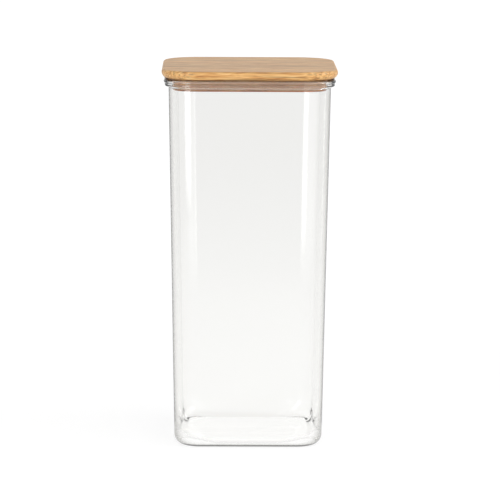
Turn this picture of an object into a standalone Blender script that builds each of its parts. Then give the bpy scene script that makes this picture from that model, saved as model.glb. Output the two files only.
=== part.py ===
"""A square glass storage jar with a push-on bamboo lid.

The blown glass body stands at the origin, +Z up, in metres. The lid is a bamboo board with a bamboo plug
glued under it, and the plug carries a silicone ring with two fins that closes the mouth.
"""

import math

import bmesh
import bpy

MM = 0.001

# Glass body: outside sizes, the wall and the floor
GLASS_HEIGHT = 232.0 * MM
BASE_WIDTH = 93.2 * MM
SHOULDER_WIDTH = 101.2 * MM
BASE_CORNER_RADIUS = 16.0 * MM
SHOULDER_CORNER_RADIUS = 17.0 * MM
WALL = 2.0 * MM
FLOOR = 3.0 * MM
FOOT_FILLET = 6.8 * MM
INSIDE_FILLET = 4.5 * MM

# The glass is thicker in the four corners of the floor. There the inside rounds in more widely
CORNER_FILL_HEIGHT = 14.0 * MM
CORNER_FILL = 18.0 * MM

# Ribbed rim: two ridges round the outside of the mouth with a hollow between them. Each drop is
# measured down from the rim's top
UPPER_RIDGE_PROUD = 3.1 * MM
LOWER_RIDGE_PROUD = 2.4 * MM
HOLLOW_PROUD = 1.9 * MM
UPPER_RIDGE_DROP = 1.2 * MM
HOLLOW_DROP = 2.4 * MM
LOWER_RIDGE_DROP = 3.6 * MM
SHOULDER_DROP = 5.8 * MM
LIP_ROUND = 0.8 * MM

# Lid board
BOARD_WIDTH = 110.0 * MM
BOARD_THICKNESS = 6.0 * MM
BOARD_CORNER_RADIUS = 24.0 * MM
BOARD_TOP_FILLET = 1.8 * MM
BOARD_NOSE_WIDTH = 4.6 * MM
BOARD_NOSE_HEIGHT = 4.1 * MM

# Lid plug, with the groove that the seal sits in
PLUG_DEPTH = 6.8 * MM
PLUG_CLEARANCE = 0.9 * MM
PLUG_EDGE_ROUND = 0.4 * MM
PLUG_LOWER_LIP = 1.0 * MM
GROOVE_HEIGHT = 4.8 * MM
GROOVE_DEPTH = 2.0 * MM

# Seal ring
SEAL_BAND = 1.2 * MM
FIN_ROOT = 1.3 * MM
FIN_TIP = 0.8 * MM
FIN_PLACE_SHARES = (0.26, 0.74)

# Clearances
REST_GAP = 0.3 * MM
GLUE_GAP = 0.3 * MM
SEAL_FIT_GAP = 0.25 * MM
SEAL_MOUTH_GAP = 0.3 * MM

# Fineness of the rounded corners and of the arcs in a profile
CORNER_STEPS = 10
FILLET_STEPS = 5
RIDGE_STEPS = 4
LIP_STEPS = 3

SHOULDER_HEIGHT = GLASS_HEIGHT - SHOULDER_DROP
MOUTH_HALF = SHOULDER_WIDTH / 2 - WALL
LID_SEAT = GLASS_HEIGHT + REST_GAP
PLUG_HALF = MOUTH_HALF - PLUG_CLEARANCE
PLUG_FLOOR = -PLUG_DEPTH
GROOVE_FLOOR_HALF = PLUG_HALF - GROOVE_DEPTH
GROOVE_LOW = PLUG_FLOOR + PLUG_LOWER_LIP
GROOVE_HIGH = GROOVE_LOW + GROOVE_HEIGHT


def clear_scene():
    for old in list(bpy.data.objects):
        bpy.data.objects.remove(old, do_unlink=True)


def wall_half(height):
    """Half the outside width of the tapering wall at a height."""
    share = min(height / SHOULDER_HEIGHT, 1)
    return (BASE_WIDTH + (SHOULDER_WIDTH - BASE_WIDTH) * share) / 2


def wall_corner_centre(height):
    """Distance of the corner arcs' centre from the jar's axis along X and Y at a height."""
    base = BASE_WIDTH / 2 - BASE_CORNER_RADIUS
    shoulder = SHOULDER_WIDTH / 2 - SHOULDER_CORNER_RADIUS
    share = min(height / SHOULDER_HEIGHT, 1)
    return base + (shoulder - base) * share


def inside_corner_centre(height):
    """The same on the inside of the wall, where the corner arcs widen towards the floor."""
    drop = max(1 - (height - FLOOR) / CORNER_FILL_HEIGHT, 0)
    return wall_corner_centre(height) - CORNER_FILL * (1 - math.sqrt(1 - drop**2))


def mouth_corner_centre(height):
    return SHOULDER_WIDTH / 2 - SHOULDER_CORNER_RADIUS


def board_corner_centre(height):
    return BOARD_WIDTH / 2 - BOARD_CORNER_RADIUS


def placed(profile, corner_centre):
    """Profile points with the distance of their corner arcs' centre added."""
    return [(half, height, corner_centre(height)) for half, height in profile]


def quarter(centre, radius_out, radius_up, start, end, steps):
    """Profile points (half width, height) along an oval arc. Angles are quarter turns from straight out."""
    points = []
    for step in range(steps + 1):
        turn = (start + (end - start) * step / steps) * math.pi / 2
        half = centre[0] + radius_out * math.cos(turn)
        points.append((half, centre[1] + radius_up * math.sin(turn)))
    return points


def wave(low, high, steps):
    """Profile points that run from one crest or hollow to the next on a cosine, without the first one."""
    points = []
    for step in range(1, steps + 1):
        share = step / steps
        rise = (1 - math.cos(math.pi * share)) / 2
        half = low[0] + (high[0] - low[0]) * rise
        points.append((half, low[1] + (high[1] - low[1]) * share))
    return points


def ring(bm, half, height, corner_centre):
    """The corners of one rounded square in order, its corner arcs about fixed centres."""
    radius = half - corner_centre
    verts = []
    for corner in range(4):
        side_x = 1 if corner in (0, 3) else -1
        side_y = 1 if corner in (0, 1) else -1
        for step in range(CORNER_STEPS + 1):
            turn = (corner + step / CORNER_STEPS) * math.pi / 2
            x = side_x * corner_centre + radius * math.cos(turn)
            y = side_y * corner_centre + radius * math.sin(turn)
            verts.append(bm.verts.new((x, y, height)))
    return verts


def skin(bm, lower, upper):
    """The faces between two rings, which point out where the profile runs up."""
    for a, b, c, d in zip(lower, lower[1:] + lower[:1], upper[1:] + upper[:1], upper):
        bm.faces.new((a, b, c, d))


def loft(name, profile, material, collection, closed=False):
    """A solid through rounded squares of unlike sizes and corners, one for each profile point. It is
    capped at both ends, or closed into a hoop."""
    bm = bmesh.new()
    rings = [ring(bm, *point) for point in profile]
    for lower, upper in zip(rings, rings[1:]):
        skin(bm, lower, upper)
    if closed:
        skin(bm, rings[-1], rings[0])
    else:
        bm.faces.new(reversed(rings[0]))
        bm.faces.new(rings[-1])
    mesh = bpy.data.meshes.new(name)
    bm.to_mesh(mesh)
    bm.free()
    mesh.shade_smooth()
    mesh.set_sharp_from_angle(angle=math.radians(40))
    mesh.materials.append(material)
    made = bpy.data.objects.new(name, mesh)
    collection.objects.link(made)
    return made


def make_material(name, colour, roughness, transmission=0.0, ior=1.5):
    material = bpy.data.materials.new(name)
    material.use_nodes = True
    shader = material.node_tree.nodes["Principled BSDF"]
    shader.inputs["Base Color"].default_value = (*colour, 1)
    shader.inputs["Roughness"].default_value = roughness
    shader.inputs["Metallic"].default_value = 0.0
    shader.inputs["Transmission Weight"].default_value = transmission
    shader.inputs["IOR"].default_value = ior
    return material


def glass_profile():
    """Up the outside from the underside, over the rim and down the inside to the floor."""
    foot = (wall_half(FOOT_FILLET) - FOOT_FILLET, FOOT_FILLET)
    outside = quarter(foot, FOOT_FILLET, FOOT_FILLET, -1, 0, FILLET_STEPS)

    shoulder = (SHOULDER_WIDTH / 2, SHOULDER_HEIGHT)
    lower_ridge = (SHOULDER_WIDTH / 2 + LOWER_RIDGE_PROUD, GLASS_HEIGHT - LOWER_RIDGE_DROP)
    hollow = (SHOULDER_WIDTH / 2 + HOLLOW_PROUD, GLASS_HEIGHT - HOLLOW_DROP)
    upper_ridge = (SHOULDER_WIDTH / 2 + UPPER_RIDGE_PROUD, GLASS_HEIGHT - UPPER_RIDGE_DROP)
    rim = [shoulder]
    rim += wave(shoulder, lower_ridge, RIDGE_STEPS)
    rim += wave(lower_ridge, hollow, RIDGE_STEPS)
    rim += wave(hollow, upper_ridge, RIDGE_STEPS)

    crown = (upper_ridge[0] - UPPER_RIDGE_DROP, upper_ridge[1])
    rim += quarter(crown, UPPER_RIDGE_DROP, UPPER_RIDGE_DROP, 0, 1, RIDGE_STEPS)[1:]
    lip = (MOUTH_HALF + LIP_ROUND, GLASS_HEIGHT - LIP_ROUND)
    rim += quarter(lip, LIP_ROUND, LIP_ROUND, 1, 2, LIP_STEPS)

    inside = [(MOUTH_HALF, SHOULDER_HEIGHT)]
    floor_edge = FLOOR + INSIDE_FILLET
    for step in range(FILLET_STEPS):
        height = FLOOR + CORNER_FILL_HEIGHT + (floor_edge - FLOOR - CORNER_FILL_HEIGHT) * step / FILLET_STEPS
        inside.append((wall_half(height) - WALL, height))
    inner_foot = (wall_half(floor_edge) - WALL - INSIDE_FILLET, floor_edge)
    inside += quarter(inner_foot, INSIDE_FILLET, INSIDE_FILLET, 0, -1, FILLET_STEPS)
    return placed(outside + rim, wall_corner_centre) + placed(inside, inside_corner_centre)


def board_profile():
    """Up the edge of the board, from its flat underside round the nose to its flat top."""
    nose = (BOARD_WIDTH / 2 - BOARD_NOSE_WIDTH, BOARD_NOSE_HEIGHT)
    under = quarter(nose, BOARD_NOSE_WIDTH, BOARD_NOSE_HEIGHT, -1, 0, FILLET_STEPS)
    top_edge = (BOARD_WIDTH / 2 - BOARD_TOP_FILLET, BOARD_THICKNESS - BOARD_TOP_FILLET)
    over = quarter(top_edge, BOARD_TOP_FILLET, BOARD_TOP_FILLET, 0, 1, FILLET_STEPS)
    return placed(under + over, board_corner_centre)


def plug_profile():
    """Up the side of the plug, in and out of the seal's groove."""
    edge = (PLUG_HALF - PLUG_EDGE_ROUND, PLUG_FLOOR + PLUG_EDGE_ROUND)
    eased = quarter(edge, PLUG_EDGE_ROUND, PLUG_EDGE_ROUND, -1, 0, LIP_STEPS)
    groove = [
        (PLUG_HALF, GROOVE_LOW),
        (GROOVE_FLOOR_HALF, GROOVE_LOW),
        (GROOVE_FLOOR_HALF, GROOVE_HIGH),
        (PLUG_HALF, GROOVE_HIGH),
    ]
    return placed(eased + groove + [(PLUG_HALF, -GLUE_GAP)], mouth_corner_centre)


def seal_profile():
    """Round the section of the seal: the band's foot, both fins from the bottom up, and the band's back."""
    back = GROOVE_FLOOR_HALF + SEAL_FIT_GAP
    face = back + SEAL_BAND
    tip = MOUTH_HALF - SEAL_MOUTH_GAP
    low = GROOVE_LOW + SEAL_FIT_GAP
    high = GROOVE_HIGH - SEAL_FIT_GAP
    points = [(back, low), (face, low)]
    for share in FIN_PLACE_SHARES:
        middle = low + (high - low) * share
        points.append((face, middle - FIN_ROOT / 2))
        points.append((tip - FIN_TIP / 2, middle - FIN_TIP / 2))
        points.append((tip, middle))
        points.append((tip - FIN_TIP / 2, middle + FIN_TIP / 2))
        points.append((face, middle + FIN_ROOT / 2))
    points += [(face, high), (back, high)]
    return placed(points, mouth_corner_centre)


def main():
    clear_scene()
    parts = bpy.data.collections.new("glass_storage_jar")
    bpy.context.scene.collection.children.link(parts)

    glass = make_material("clear_glass", (0.97, 0.98, 0.97), 0.02, transmission=1.0, ior=1.47)
    bamboo = make_material("bamboo", (0.66, 0.41, 0.17), 0.5)
    silicone = make_material("milky_silicone", (0.86, 0.86, 0.84), 0.35, transmission=0.6, ior=1.41)

    loft("glass_jar", glass_profile(), glass, parts)

    # The lid lifts straight up, and is placed by the plane of the board's underside
    lid = bpy.data.objects.new("lid", None)
    lid.location = (0, 0, LID_SEAT)
    parts.objects.link(lid)
    lid_pieces = [
        loft("lid_board", board_profile(), bamboo, parts),
        loft("lid_plug", plug_profile(), bamboo, parts),
        loft("seal_ring", seal_profile(), silicone, parts, closed=True),
    ]
    for piece in lid_pieces:
        piece.parent = lid


main()
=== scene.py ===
"""Looks of a tall square glass storage jar with a push-on bamboo lid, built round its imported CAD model.

Four pieces are made here: the blown glass body, the lid's bamboo board, the bamboo plug under it and the
silicone seal in the plug's groove. Each replaces the plain solid of its name.
"""

import math

import bmesh
import bpy
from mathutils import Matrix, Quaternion, Vector


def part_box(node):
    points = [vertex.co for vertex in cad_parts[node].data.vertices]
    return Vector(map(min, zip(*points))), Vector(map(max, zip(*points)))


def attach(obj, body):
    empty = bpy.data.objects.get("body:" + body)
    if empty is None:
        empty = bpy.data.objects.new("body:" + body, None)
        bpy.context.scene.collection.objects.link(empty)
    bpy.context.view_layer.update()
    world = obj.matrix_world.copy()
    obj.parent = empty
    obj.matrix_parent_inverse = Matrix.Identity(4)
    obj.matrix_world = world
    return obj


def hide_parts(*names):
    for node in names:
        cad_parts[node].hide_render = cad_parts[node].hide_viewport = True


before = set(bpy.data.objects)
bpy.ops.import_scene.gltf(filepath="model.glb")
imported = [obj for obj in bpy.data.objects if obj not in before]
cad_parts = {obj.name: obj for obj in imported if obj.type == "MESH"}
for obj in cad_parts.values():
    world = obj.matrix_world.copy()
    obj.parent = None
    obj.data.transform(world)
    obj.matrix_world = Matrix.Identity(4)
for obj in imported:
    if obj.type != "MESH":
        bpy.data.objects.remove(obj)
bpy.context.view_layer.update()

MM = 0.001

# Outer sizes, from the frame
GLASS_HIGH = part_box("glass_jar")[1]
BOARD_LOW, BOARD_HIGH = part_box("lid_board")
PLUG_LOW, PLUG_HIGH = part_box("lid_plug")
SEAL_LOW, SEAL_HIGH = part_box("seal_ring")

# Glass body
BASE_HALF = 46.6 * MM
BASE_CORNER_RADIUS = 16.0 * MM
SHOULDER_CORNER_RADIUS = 17.0 * MM
WALL = 2.0 * MM
FLOOR = 3.0 * MM
FOOT_FILLET = 6.8 * MM
INSIDE_FILLET = 4.5 * MM

# The glass is thicker in the four corners of the floor. There the inside rounds in more widely
CORNER_FILL_HEIGHT = 14.0 * MM
CORNER_FILL = 18.0 * MM

# Ribbed rim. A ridge stands proud of the shoulder, where the wall turns out, and drops are measured down from
# the rim's top. The lower ridge runs straight up as far as the ledge's drop
UPPER_RIDGE_PROUD = 3.1 * MM
LOWER_RIDGE_PROUD = 2.4 * MM
UPPER_RIDGE_DROP = 1.2 * MM
LEDGE_DROP = 2.4 * MM
LOWER_RIDGE_DROP = 3.6 * MM
SHOULDER_DROP = 5.1 * MM
LIP_ROUND = 0.8 * MM

# Lid board
BOARD_CORNER_RADIUS = 24.0 * MM
BOARD_TOP_FILLET = 1.8 * MM
BOARD_NOSE_WIDTH = 4.6 * MM
BOARD_NOSE_HEIGHT = 4.1 * MM

# Lid plug and the groove in it
PLUG_EDGE_ROUND = 0.4 * MM
PLUG_LOWER_LIP = 1.0 * MM
GROOVE_HEIGHT = 4.8 * MM
GROOVE_DEPTH = 2.0 * MM

# Seal ring
SEAL_BAND = 1.2 * MM
FIN_ROOT = 1.6 * MM
FIN_TIP = 1.5 * MM
FIN_PLACE_SHARES = (0.26, 0.74)

# Fineness: steps in a corner's quarter turn, in a fillet, in a wave of the rim and in a small rounding
CORNER_STEPS = 24
FILLET_STEPS = 14
RIDGE_STEPS = 10
LIP_STEPS = 8
MERGE = 0.001 * MM
SHARP_ANGLE = math.radians(40)

# These keep the shading of the flats even: how far from a curve's end an extra row of corners lies, and how
# wide a border a flat cap gets
SUPPORT = 0.4 * MM
CAP_BORDER = 0.5 * MM

# Bamboo: the laminated strips, and the grain along them. Real fibre bundles lie closer together and their
# fibres are far finer. Both are drawn this coarse so that they show
STRIP_WIDTH = 6.0 * MM
BUNDLE_LENGTH = 45.0 * MM
BUNDLE_PITCH = 1.3 * MM
FIBRE_LENGTH = 50.0 * MM
FIBRE_WIDTH = 0.6 * MM
FLAME_LENGTH = 18.0 * MM
FLAME_WIDTH = 1.5 * MM
FIBRE_RELIEF = 0.02 * MM

# A bundle's dark dot: from where to where it fades, as shares of the pitch, and its darkest and lightest level.
# Then the same levels for the strips
DOT_FADE = (0.22, 0.45)
DOT_LEVELS = (0.66, 1.06)
STRIP_LEVELS = (0.9, 1.06)

# Painted shade along the lower edges of board and plug: a dark line where shade falls under the board's edge
# and on the plug's lip. A face that looks down more steeply than the limit is the flat underside, which has no
# such line
SHADE_LINE_HEIGHT = 0.9 * MM
UNDERSIDE_LIMIT = -0.99

# Faint clouds in the silicone, and how far light wanders in it
CLOUD_SIZE = 3.0 * MM
SCATTER = 1.5 * MM

# The glass's painted contact shadow, a dark line at the foot. Then how far up, and how much, the painted edge
# shade deepens towards the foot, where the glass is also thicker
SEAT_SHADOW_HEIGHT = 2.4 * MM
FOOT_SHADE_REACH = 30.0 * MM
FOOT_SHADE_DEPTH = 0.18

# A face is on the outside of the glass if its plane lies at least this far in front of the origin
OUTSIDE_REACH = 10.0 * MM

# Studio levels, where 1 is white. What the surround and the table give the object as light
FILL_LIGHT = 0.24
TABLE_FILL = 0.58

# What gloss and glass show of the surround, at the horizon and from a rise upwards, which is the sine of an
# angle, and of the table, in stops from the jar as far out as a reach in metres
SURROUND_IN_GLASS = (0.875, 1.0)
SURROUND_RISE = 0.35
TABLE_IN_GLASS = [(0.0, "F0F0F0"), (0.04, "F0F0F0"), (0.1, "EDEDED"), (1.0, "EAEAEA")]
TABLE_REACH = 1.5

# What the eye sees of the table, at the jar and from a reach outwards, and how far it runs to each side
TABLE_GLOW = (0.86, 1.0)
GLOW_REACH = 1.0
TABLE_HALF = 8.0

# Levels up a softbox, below the one of its top, and across it from one upright edge to the other
LOWER_PART = [(0.0, "000000"), (0.04, "FFFFFF"), (0.25, "FFFFFF")]
EVEN = [(0.0, "FFFFFF"), (1.0, "FFFFFF")]
FALLING = [(0.0, "FFFFFF"), (0.08, "FFFFFF"), (0.16, "B4B4B4"), (0.7, "A8A8A8"), (1.0, "808080")]

SHOULDER_HALF = GLASS_HIGH.x - UPPER_RIDGE_PROUD
SHOULDER_HEIGHT = GLASS_HIGH.z - SHOULDER_DROP
MOUTH_HALF = SHOULDER_HALF - WALL


def wall_half(height):
    """Half the outside width of the tapering wall at a height."""
    share = min(height / SHOULDER_HEIGHT, 1)
    return BASE_HALF + (SHOULDER_HALF - BASE_HALF) * share


def wall_corner_centre(height):
    """Distance of the corner arcs' centre from the axis along X and Y at a height."""
    base = BASE_HALF - BASE_CORNER_RADIUS
    share = min(height / SHOULDER_HEIGHT, 1)
    return base + (mouth_corner_centre(height) - base) * share


def inside_corner_centre(height):
    """The same on the inside of the wall, where the corner arcs widen towards the floor."""
    drop = max(1 - (height - FLOOR) / CORNER_FILL_HEIGHT, 0)
    return wall_corner_centre(height) - CORNER_FILL * (1 - math.sqrt(1 - drop**2))


def mouth_corner_centre(height):
    """The same round the mouth and on what fits into it, at every height."""
    return SHOULDER_HALF - SHOULDER_CORNER_RADIUS


def board_corner_centre(height):
    """The same on the lid's board, at every height."""
    return BOARD_HIGH.x - BOARD_CORNER_RADIUS


def placed(profile, corner_centre):
    """Profile points with the distance of their corner arcs' centre added."""
    return [(half, height, corner_centre(height)) for half, height in profile]


def arc(centre, radius_out, radius_up, start, end, steps):
    """Profile points (half width, height) along an oval arc. Angles are quarter turns from straight out."""
    points = []
    for step in range(steps + 1):
        turn = (start + (end - start) * step / steps) * math.pi / 2
        points.append((centre[0] + radius_out * math.cos(turn), centre[1] + radius_up * math.sin(turn)))
    return points


def wave(low, high, steps):
    """Profile points from one crest or ledge to the next on a cosine, without the first one."""
    points = []
    for step in range(1, steps + 1):
        share = step / steps
        rise = (1 - math.cos(math.pi * share)) / 2
        points.append((low[0] + (high[0] - low[0]) * rise, low[1] + (high[1] - low[1]) * share))
    return points


def glass_profile():
    """Up the outside from the underside, over the rim and down the inside to the floor."""
    foot = (wall_half(FOOT_FILLET) - FOOT_FILLET, FOOT_FILLET)
    outside = arc(foot, FOOT_FILLET, FOOT_FILLET, -1, 0, FILLET_STEPS)
    for height in (FOOT_FILLET + SUPPORT, SHOULDER_HEIGHT - SUPPORT):
        outside.append((wall_half(height), height))

    top = GLASS_HIGH.z
    shoulder = (SHOULDER_HALF, SHOULDER_HEIGHT)
    lower_ridge = (SHOULDER_HALF + LOWER_RIDGE_PROUD, top - LOWER_RIDGE_DROP)
    ledge = (SHOULDER_HALF + LOWER_RIDGE_PROUD, top - LEDGE_DROP)
    upper_ridge = (GLASS_HIGH.x, top - UPPER_RIDGE_DROP)
    rim = [shoulder]
    rim += wave(shoulder, lower_ridge, RIDGE_STEPS)
    rim += wave(lower_ridge, ledge, RIDGE_STEPS)
    rim += wave(ledge, upper_ridge, RIDGE_STEPS)
    crown = (upper_ridge[0] - UPPER_RIDGE_DROP, upper_ridge[1])
    rim += arc(crown, UPPER_RIDGE_DROP, UPPER_RIDGE_DROP, 0, 1, RIDGE_STEPS)[1:]
    lip = (MOUTH_HALF + LIP_ROUND, top - LIP_ROUND)
    rim += arc(lip, LIP_ROUND, LIP_ROUND, 1, 2, LIP_STEPS)

    inside = [(MOUTH_HALF, top - LIP_ROUND - SUPPORT), (MOUTH_HALF, SHOULDER_HEIGHT)]
    for height in (SHOULDER_HEIGHT - SUPPORT, FLOOR + CORNER_FILL_HEIGHT + SUPPORT):
        inside.append((wall_half(height) - WALL, height))
    floor_edge = FLOOR + INSIDE_FILLET
    fill_top = FLOOR + CORNER_FILL_HEIGHT
    for step in range(FILLET_STEPS):
        height = fill_top + (floor_edge - fill_top) * step / FILLET_STEPS
        inside.append((wall_half(height) - WALL, height))
    inner_foot = (wall_half(floor_edge) - WALL - INSIDE_FILLET, floor_edge)
    inside += arc(inner_foot, INSIDE_FILLET, INSIDE_FILLET, 0, -1, FILLET_STEPS)
    return placed(outside + rim, wall_corner_centre) + placed(inside, inside_corner_centre)


def board_profile():
    """Up the edge of the board, from its flat underside round the nose to its flat top."""
    nose = (BOARD_HIGH.x - BOARD_NOSE_WIDTH, BOARD_LOW.z + BOARD_NOSE_HEIGHT)
    under = arc(nose, BOARD_NOSE_WIDTH, BOARD_NOSE_HEIGHT, -1, 0, FILLET_STEPS)
    top_edge = (BOARD_HIGH.x - BOARD_TOP_FILLET, BOARD_HIGH.z - BOARD_TOP_FILLET)
    over = arc(top_edge, BOARD_TOP_FILLET, BOARD_TOP_FILLET, 0, 1, FILLET_STEPS)
    return placed(under + over, board_corner_centre)


def plug_profile():
    """Up the side of the plug, in and out of the seal's groove."""
    half = PLUG_HIGH.x
    edge = (half - PLUG_EDGE_ROUND, PLUG_LOW.z + PLUG_EDGE_ROUND)
    groove_low = PLUG_LOW.z + PLUG_LOWER_LIP
    groove_high = groove_low + GROOVE_HEIGHT
    groove = [
        (half, groove_low),
        (half - GROOVE_DEPTH, groove_low),
        (half - GROOVE_DEPTH, groove_high),
        (half, groove_high),
    ]
    eased = arc(edge, PLUG_EDGE_ROUND, PLUG_EDGE_ROUND, -1, 0, LIP_STEPS)
    return placed(eased + groove + [(half, PLUG_HIGH.z)], mouth_corner_centre)


def seal_profile():
    """Round the section of the seal: the band's foot, both round-nosed fins from the bottom up, the back."""
    back = seal_back()
    face = back + SEAL_BAND
    tip = SEAL_HIGH.x
    low, high = SEAL_LOW.z, SEAL_HIGH.z
    points = [(back, low), (face, low)]
    for share in FIN_PLACE_SHARES:
        middle = low + (high - low) * share
        points.append((face, middle - FIN_ROOT / 2))
        points += arc((tip - FIN_TIP / 2, middle), FIN_TIP / 2, FIN_TIP / 2, -1, 1, LIP_STEPS)
        points.append((face, middle + FIN_ROOT / 2))
    return placed(points + [(face, high), (back, high)], mouth_corner_centre)


def seal_back():
    """Half the width of the seal's inner face, which lies against the groove's floor."""
    clearance = SEAL_LOW.z - PLUG_LOW.z - PLUG_LOWER_LIP
    return PLUG_HIGH.x - GROOVE_DEPTH + clearance


def only(kind, items):
    """The corners or the edges among the new parts of a mesh."""
    return [item for item in items if isinstance(item, kind)]


def rounded_square(name, profile, closed=False):
    """A piece whose level cuts are rounded squares. The profile is spun through one corner, its ends run on to
    the middle planes, and the quarter is mirrored twice. An open profile's ends get flat caps."""
    bm = bmesh.new()
    shift = bm.verts.layers.float.new("shift")
    verts = []
    for half, height, centre in profile:
        verts.append(bm.verts.new((half - centre, 0, height)))
        verts[-1][shift] = centre
    pairs = list(zip(verts, verts[1:]))
    if closed:
        pairs.append((verts[-1], verts[0]))
    edges = [bm.edges.new(pair) for pair in pairs]
    spun = bmesh.ops.spin(
        bm,
        geom=verts + edges,
        axis=(0, 0, 1),
        cent=(0, 0, 0),
        angle=math.pi / 2,
        steps=CORNER_STEPS,
        use_merge=False,
    )
    for vert in bm.verts:
        vert.co.x += vert[shift]
        vert.co.y += vert[shift]
    ends = [edges, only(bmesh.types.BMEdge, spun["geom_last"])]
    for end, across in zip(ends, (1, 0)):
        run = bmesh.ops.extrude_edge_only(bm, edges=end)["geom"]
        for vert in only(bmesh.types.BMVert, run):
            vert.co[across] -= SUPPORT
        run = bmesh.ops.extrude_edge_only(bm, edges=only(bmesh.types.BMEdge, run))["geom"]
        for vert in only(bmesh.types.BMVert, run):
            vert.co[across] = 0
    for axis in ("X", "Y"):
        bmesh.ops.mirror(bm, geom=bm.verts[:] + bm.edges[:] + bm.faces[:], axis=axis, merge_dist=MERGE)
    bmesh.ops.remove_doubles(bm, verts=bm.verts, dist=MERGE)
    rims = [edge for edge in bm.edges if edge.is_boundary]
    if rims:
        caps = bmesh.ops.holes_fill(bm, edges=rims, sides=0)["faces"]
        bmesh.ops.inset_individual(bm, faces=caps, thickness=CAP_BORDER)
    bmesh.ops.recalc_face_normals(bm, faces=bm.faces)
    if bm.calc_volume(signed=True) < 0:
        bmesh.ops.reverse_faces(bm, faces=bm.faces)
    mesh = bpy.data.meshes.new(name)
    bm.to_mesh(mesh)
    bm.free()
    mesh.shade_smooth()
    mesh.set_sharp_from_angle(angle=SHARP_ANGLE)
    piece = bpy.data.objects.new(name, mesh)
    bpy.context.scene.collection.objects.link(piece)
    return piece


def fit(piece, body, node, material):
    """Puts a finished piece in the place of its plain solid."""
    piece.data.materials.append(material)
    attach(piece, body)
    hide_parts(node)


def linear(code):
    """A colour for a shader from its sRGB hex code."""
    channels = []
    for place in (0, 2, 4):
        value = int(code[place : place + 2], 16) / 255
        channels.append(value / 12.92 if value <= 0.04045 else ((value + 0.055) / 1.055) ** 2.4)
    return (*channels, 1)


def add(tree, kind, values=None, **settings):
    """Adds a node. Values are numbers or other nodes' outputs for its sockets, settings are its own options."""
    node = tree.nodes.new(kind)
    for name, setting in settings.items():
        setattr(node, name, setting)
    for name, value in (values or {}).items():
        if isinstance(value, bpy.types.NodeSocket):
            tree.links.new(value, node.inputs[name])
        else:
            node.inputs[name].default_value = value
    return node


def ramp(tree, factor, stops):
    """A colour ramp with its stops as (place, hex colour)."""
    node = add(tree, "ShaderNodeValToRGB", {"Fac": factor})
    elements = node.color_ramp.elements
    for place, _ in stops[1:-1]:
        elements.new(place)
    for element, (place, code) in zip(elements, stops):
        element.position = place
        element.color = linear(code)
    return node.outputs["Color"]


def new_material(name):
    """A material with its node tree and its main shader."""
    material = bpy.data.materials.new(name)
    material.use_nodes = True
    return material, material.node_tree, material.node_tree.nodes["Principled BSDF"]


def blown_glass():
    """Blown borosilicate glass: clear and fire-polished, with painted shade that darkens it where the eye looks
    along the wall, standing in for the darker surroundings real glass shows at its edges, and a painted contact
    shadow in the thin line where the foot turns under. Both are taken up once, where light enters through the
    outside."""
    material, tree, shader = new_material("blown_borosilicate_glass")
    coordinates = add(tree, "ShaderNodeTexCoord").outputs
    place = coordinates["Object"]
    height = add(tree, "ShaderNodeSeparateXYZ", {"Vector": place}).outputs["Z"]

    # 1 where no painted shade is taken up: on the inside of the glass, and where light leaves it
    leaving = add(tree, "ShaderNodeNewGeometry").outputs["Backfacing"]
    plane = add(tree, "ShaderNodeVectorMath", {0: place, 1: coordinates["Normal"]}, operation="DOT_PRODUCT")
    within = {0: plane.outputs["Value"], 1: OUTSIDE_REACH}
    inside = add(tree, "ShaderNodeMath", within, operation="LESS_THAN").outputs[0]
    clear = add(tree, "ShaderNodeMath", {0: inside, 1: leaving}, operation="MAXIMUM").outputs[0]

    # Painted shade: the edge shade deepens towards the foot, where the glass is also thicker
    spread = {"From Min": FOOT_FILLET, "From Max": FOOT_SHADE_REACH, "To Min": FOOT_SHADE_DEPTH, "To Max": 0.0}
    foot_shade = add(tree, "ShaderNodeMapRange", {"Value": height, **spread}).outputs["Result"]
    # Painted edge shade: a faint real tint face on, darkening towards grazing, where real glass shows darker
    # surroundings
    grazing = add(tree, "ShaderNodeLayerWeight", {"Blend": 0.5}).outputs["Facing"]
    grazing = add(tree, "ShaderNodeMath", {0: grazing, 1: clear}, operation="SUBTRACT").outputs[0]
    grazing = add(tree, "ShaderNodeMath", {0: grazing, 1: foot_shade}, operation="ADD").outputs[0]
    stops = [(0.0, "FDFDFC"), (0.4, "F8F7F5"), (0.6, "CECDC9"), (0.75, "A09F9B"), (1.0, "70706C")]
    edge_shade = ramp(tree, grazing, stops)

    # Painted contact shadow: a dark band just above the underside, where the foot turns under, not where light
    # leaves
    foot = {0: height, 1: 1 / SEAT_SHADOW_HEIGHT, 2: leaving}
    share = add(tree, "ShaderNodeMath", foot, operation="MULTIPLY_ADD").outputs[0]
    seat_shadow = ramp(tree, share, [(0.02, "FFFFFF"), (0.03, "505050"), (0.7, "505050"), (1.0, "FFFFFF")])
    edge_shade = add(tree, "ShaderNodeVectorMath", {0: edge_shade, 1: seat_shadow}, operation="MULTIPLY").outputs[0]
    tree.links.new(edge_shade, shader.inputs["Base Color"])
    shader.inputs["Transmission Weight"].default_value = 1.0
    shader.inputs["Roughness"].default_value = 0.0
    shader.inputs["IOR"].default_value = 1.47
    return material


def stretched(tree, place, length, across):
    """Where to look up a pattern that is drawn out along X. Length and across are the size of its grain."""
    sizes = (1 / length, 1 / across, 1 / across)
    return add(tree, "ShaderNodeMapping", {"Vector": place, "Scale": sizes}).outputs["Vector"]


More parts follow.
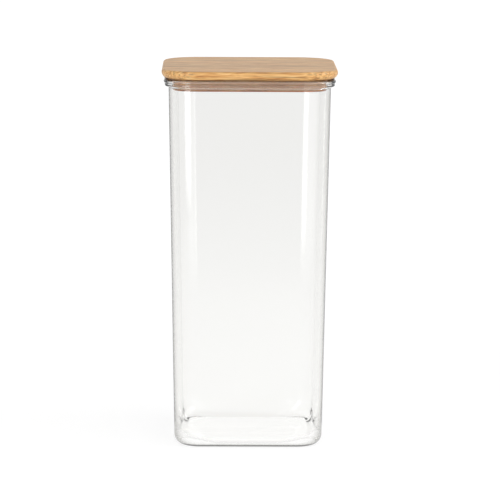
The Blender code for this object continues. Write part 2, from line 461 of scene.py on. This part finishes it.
def bamboo(name, low_edge, shade_tone):
    """Laminated bamboo, fine sanded and oiled: pale gold strips with fine fibre, darker flame grain, the dots
    of the cut fibre bundles where the edge crosses the grain, and a painted shade line along its lower edge,
    which the flat underside doesn't have."""
    material, tree, shader = new_material(name)
    coordinates = add(tree, "ShaderNodeTexCoord").outputs
    place = coordinates["Object"]
    places = add(tree, "ShaderNodeSeparateXYZ", {"Vector": place}).outputs

    # The strips lie side by side in depth, and each takes its grain from another place
    strips = add(tree, "ShaderNodeMath", {0: places["Y"], 1: STRIP_WIDTH}, operation="DIVIDE").outputs[0]
    strip = add(tree, "ShaderNodeMath", {0: strips}, operation="FLOOR").outputs[0]
    chance = add(tree, "ShaderNodeTexWhiteNoise", {"W": strip}, noise_dimensions="1D").outputs["Value"]
    own_place = add(tree, "ShaderNodeCombineXYZ", {"X": chance}).outputs["Vector"]
    own_place = add(tree, "ShaderNodeVectorMath", {0: place, 1: own_place}, operation="ADD").outputs[0]

    flame = {"Vector": stretched(tree, own_place, FLAME_LENGTH, FLAME_WIDTH), "Scale": 1.0}
    flame = add(tree, "ShaderNodeTexNoise", {**flame, "Detail": 2.0, "Distortion": 1.2}).outputs["Fac"]
    fibre = {"Vector": stretched(tree, own_place, FIBRE_LENGTH, FIBRE_WIDTH), "Scale": 1.0}
    fibre = add(tree, "ShaderNodeTexNoise", {**fibre, "Detail": 3.0, "Roughness": 0.6}).outputs["Fac"]
    grain = add(tree, "ShaderNodeMix", {"Factor": 0.4, "A": flame, "B": fibre}).outputs["Result"]
    tone = ramp(tree, grain, [(0.34, "925C28"), (0.44, "CC9352"), (0.53, "E0AE6A"), (0.68, "F4D096")])

    bundle = {"Vector": stretched(tree, place, BUNDLE_LENGTH, BUNDLE_PITCH), "Scale": 1.0}
    bundle = add(tree, "ShaderNodeTexVoronoi", bundle).outputs["Distance"]
    low, high = DOT_LEVELS
    fade = {"From Min": DOT_FADE[0], "From Max": DOT_FADE[1], "To Min": low, "To Max": high}
    dots = add(tree, "ShaderNodeMapRange", {"Value": bundle, **fade}).outputs["Result"]
    low, high = STRIP_LEVELS
    level = add(tree, "ShaderNodeMapRange", {"Value": chance, "To Min": low, "To Max": high}).outputs["Result"]
    shade = add(tree, "ShaderNodeMath", {0: dots, 1: level}, operation="MULTIPLY").outputs[0]
    tone = add(tree, "ShaderNodeVectorMath", {0: tone, "Scale": shade}, operation="SCALE").outputs[0]

    # Painted shade: the lower edge darkens to its shade tone, but the flat underside does not
    spread = {"Value": places["Z"], "From Min": low_edge, "From Max": low_edge + SHADE_LINE_HEIGHT}
    share = add(tree, "ShaderNodeMapRange", spread).outputs["Result"]
    facing = add(tree, "ShaderNodeSeparateXYZ", {"Vector": coordinates["Normal"]}).outputs["Z"]
    underside = add(tree, "ShaderNodeMath", {0: facing, 1: UNDERSIDE_LIMIT}, operation="LESS_THAN").outputs[0]
    share = add(tree, "ShaderNodeMath", {0: share, 1: underside}, operation="MAXIMUM").outputs[0]
    edge = ramp(tree, share, [(0.0, shade_tone), (0.6, shade_tone), (1.0, "FFFFFF")])
    colour = add(tree, "ShaderNodeVectorMath", {0: tone, 1: edge}, operation="MULTIPLY").outputs[0]
    tree.links.new(colour, shader.inputs["Base Color"])
    relief = add(tree, "ShaderNodeBump", {"Height": fibre, "Strength": 0.3, "Distance": FIBRE_RELIEF})
    tree.links.new(relief.outputs["Normal"], shader.inputs["Normal"])
    shader.inputs["Roughness"].default_value = 0.45
    shader.inputs["Coat Weight"].default_value = 0.2
    shader.inputs["Coat Roughness"].default_value = 0.4
    return material


def milky_silicone():
    """Translucent milky silicone rubber, satin. The bamboo behind warms its tone partly by the light the rubber
    lets through, and partly by a warm base colour painted in for it.
    """
    material, tree, shader = new_material("milky_silicone_rubber")
    place = add(tree, "ShaderNodeTexCoord").outputs["Object"]
    clouds = {"Vector": place, "Scale": 1 / CLOUD_SIZE, "Detail": 2.0}
    cloud = add(tree, "ShaderNodeTexNoise", clouds).outputs["Fac"]
    # Painted warmth: the base colour is warmed for the bamboo seen through the rubber
    tone = ramp(tree, cloud, [(0.3, "F0C8A8"), (0.7, "FAD6BA")])
    tree.links.new(tone, shader.inputs["Base Color"])
    shader.inputs["Transmission Weight"].default_value = 0.15
    shader.inputs["Subsurface Weight"].default_value = 0.4
    shader.inputs["Subsurface Radius"].default_value = (1.0, 0.85, 0.7)
    shader.inputs["Subsurface Scale"].default_value = SCATTER
    shader.inputs["Roughness"].default_value = 0.4
    shader.inputs["IOR"].default_value = 1.41
    return material


# Camera: found from the outlines of the lid, the body and the base in the photograph. Lens and sensor are in
# millimetres, as cameras have them, and the far clip is in metres
CAMERA_PLACE = Vector((-21.1, -1917.8, 410.0)) * MM
CAMERA_AIM = Vector((0.0, 0.0, 119.0)) * MM
CAMERA_ROLL = math.radians(0.30)
LENS = 218.65
SENSOR = 36.0
SHIFT = (0.0033, 0.0013)
FAR_CLIP = 50


def place_camera():
    """The camera of the photograph, which looks down at the jar a little."""
    camera = bpy.data.objects.new("camera", bpy.data.cameras.new("camera"))
    bpy.context.scene.collection.objects.link(camera)
    camera.location = CAMERA_PLACE
    camera.rotation_mode = "QUATERNION"
    level = (CAMERA_AIM - CAMERA_PLACE).to_track_quat("-Z", "Y")
    camera.rotation_quaternion = level @ Quaternion((0, 0, 1), CAMERA_ROLL)
    camera.data.lens = LENS
    camera.data.sensor_width = SENSOR
    camera.data.shift_x, camera.data.shift_y = SHIFT
    camera.data.clip_end = FAR_CLIP
    bpy.context.scene.camera = camera


def softbox(name, azimuth, distance, width, height, radiance, top, across, lift=0.0, tilt=0.0):
    """A light panel facing the jar, standing on the table or lifted over it and tilted down, in degrees and
    metres. Azimuth 0 is the camera's side, -Y, and 90 is +X. Top is the level at its top, as a hex colour, and
    across holds the levels from side to side."""
    lamp = bpy.data.lights.new(name, "AREA")
    lamp.shape = "RECTANGLE"
    lamp.size = width
    lamp.size_y = height
    lamp.energy = radiance * math.pi * width * height
    lamp.use_nodes = True
    tree = lamp.node_tree
    on_panel = add(tree, "ShaderNodeNewGeometry").outputs["Parametric"]
    on_panel = add(tree, "ShaderNodeSeparateXYZ", {"Vector": on_panel}).outputs
    up = ramp(tree, on_panel["Y"], LOWER_PART + [(1.0, top)])
    side = ramp(tree, on_panel["X"], across)
    level = add(tree, "ShaderNodeMath", {0: up, 1: side}, operation="MULTIPLY").outputs[0]
    tree.links.new(level, tree.nodes["Emission"].inputs["Strength"])
    panel = bpy.data.objects.new(name, lamp)
    bpy.context.scene.collection.objects.link(panel)
    turn = math.radians(azimuth)
    panel.location = (distance * math.sin(turn), -distance * math.cos(turn), lift + height / 2)
    panel.rotation_euler = (math.radians(90 - tilt), 0, turn)
    panel.visible_camera = False


def ray_kinds(tree):
    """1 for rays from the camera, and 1 for those that gloss or glass sends on before any matt surface does."""
    ray = add(tree, "ShaderNodeLightPath").outputs
    kinds = {0: ray["Is Glossy Ray"], 1: ray["Is Transmission Ray"]}
    sent = add(tree, "ShaderNodeMath", kinds, operation="MAXIMUM").outputs[0]
    early = add(tree, "ShaderNodeMath", {0: ray["Diffuse Depth"], 1: 0.5}, operation="LESS_THAN").outputs[0]
    sent = add(tree, "ShaderNodeMath", {0: sent, 1: early}, operation="MULTIPLY").outputs[0]
    return ray["Is Camera Ray"], sent


def white_surround():
    """An even white surround for the eye, a little less bright in gloss and glass, and a soft fill light."""
    world = bpy.data.worlds.new("white_surround")
    bpy.context.scene.world = world
    world.use_nodes = True
    tree = world.node_tree
    back = tree.nodes["Background"]
    seen, sent = ray_kinds(tree)
    way = add(tree, "ShaderNodeTexCoord").outputs["Generated"]
    height = add(tree, "ShaderNodeSeparateXYZ", {"Vector": way}).outputs["Z"]
    low, high = SURROUND_IN_GLASS
    rise = {"Value": height, "From Max": SURROUND_RISE, "To Min": low, "To Max": high}
    glassy = add(tree, "ShaderNodeMapRange", rise).outputs["Result"]
    level = add(tree, "ShaderNodeMix", {"Factor": sent, "A": FILL_LIGHT, "B": glassy}).outputs["Result"]
    level = add(tree, "ShaderNodeMix", {"Factor": seen, "A": level, "B": 1.0}).outputs["Result"]
    back.inputs["Color"].default_value = (1, 1, 1, 1)
    tree.links.new(level, back.inputs["Strength"])


def studio_floor():
    """A wide matt table. It glows, so that it is white to the eye but for the jar's soft shadow."""
    mesh = bpy.data.meshes.new("studio_floor")
    bm = bmesh.new()
    bmesh.ops.create_grid(bm, x_segments=1, y_segments=1, size=TABLE_HALF)
    bm.to_mesh(mesh)
    bm.free()
    floor = bpy.data.objects.new("studio_floor", mesh)
    bpy.context.scene.collection.objects.link(floor)
    material, tree, shader = new_material("white_table")
    place = add(tree, "ShaderNodeTexCoord").outputs["Object"]
    away = add(tree, "ShaderNodeVectorMath", {0: place}, operation="LENGTH").outputs["Value"]
    seen, sent = ray_kinds(tree)
    near, far = TABLE_GLOW
    spread = {"Value": away, "From Max": GLOW_REACH, "To Min": near, "To Max": far}
    glow = add(tree, "ShaderNodeMapRange", spread).outputs["Result"]
    share = add(tree, "ShaderNodeMath", {0: away, 1: TABLE_REACH}, operation="DIVIDE").outputs[0]
    glassy = ramp(tree, share, TABLE_IN_GLASS)
    level = add(tree, "ShaderNodeMix", {"Factor": sent, "A": TABLE_FILL, "B": glassy}).outputs["Result"]
    level = add(tree, "ShaderNodeMix", {"Factor": seen, "A": level, "B": glow}).outputs["Result"]
    shader.inputs["Base Color"].default_value = linear("8C8C8C")
    shader.inputs["Roughness"].default_value = 0.9
    shader.inputs["Specular IOR Level"].default_value = 0.0
    shader.inputs["Emission Color"].default_value = (1, 1, 1, 1)
    tree.links.new(level, shader.inputs["Emission Strength"])
    floor.data.materials.append(material)


glass = rounded_square("glass_body", glass_profile())
board = rounded_square("bamboo_board", board_profile())
plug = rounded_square("bamboo_plug", plug_profile())
seal = rounded_square("silicone_seal", seal_profile(), closed=True)

fit(glass, "jar", "glass_jar", blown_glass())
# Each bamboo gets the tone of its painted shade line: shade under the board's edge, the plug's lip in shade
fit(board, "lid", "lid_board", bamboo("oiled_bamboo_board", BOARD_LOW.z, "8A5F3C"))
fit(plug, "lid", "lid_plug", bamboo("oiled_bamboo_plug", PLUG_LOW.z, "D08C3C"))
fit(seal, "lid", "seal_ring", milky_silicone())

place_camera()
white_surround()
studio_floor()
softbox(
    "left_softbox",
    azimuth=-37,
    distance=0.87,
    width=0.36,
    height=1.4,
    radiance=3.75,
    top="707070",
    across=EVEN,
)
softbox(
    "right_softbox",
    azimuth=33,
    distance=0.54,
    width=0.57,
    height=1.4,
    radiance=2.15,
    top="808080",
    across=FALLING,
)
softbox(
    "right_high_softbox",
    azimuth=80,
    distance=1.0,
    width=0.5,
    height=0.5,
    radiance=6.0,
    top="FFFFFF",
    across=EVEN,
    lift=0.42,
    tilt=25,
)
bpy.context.scene.view_settings.view_transform = "Standard"
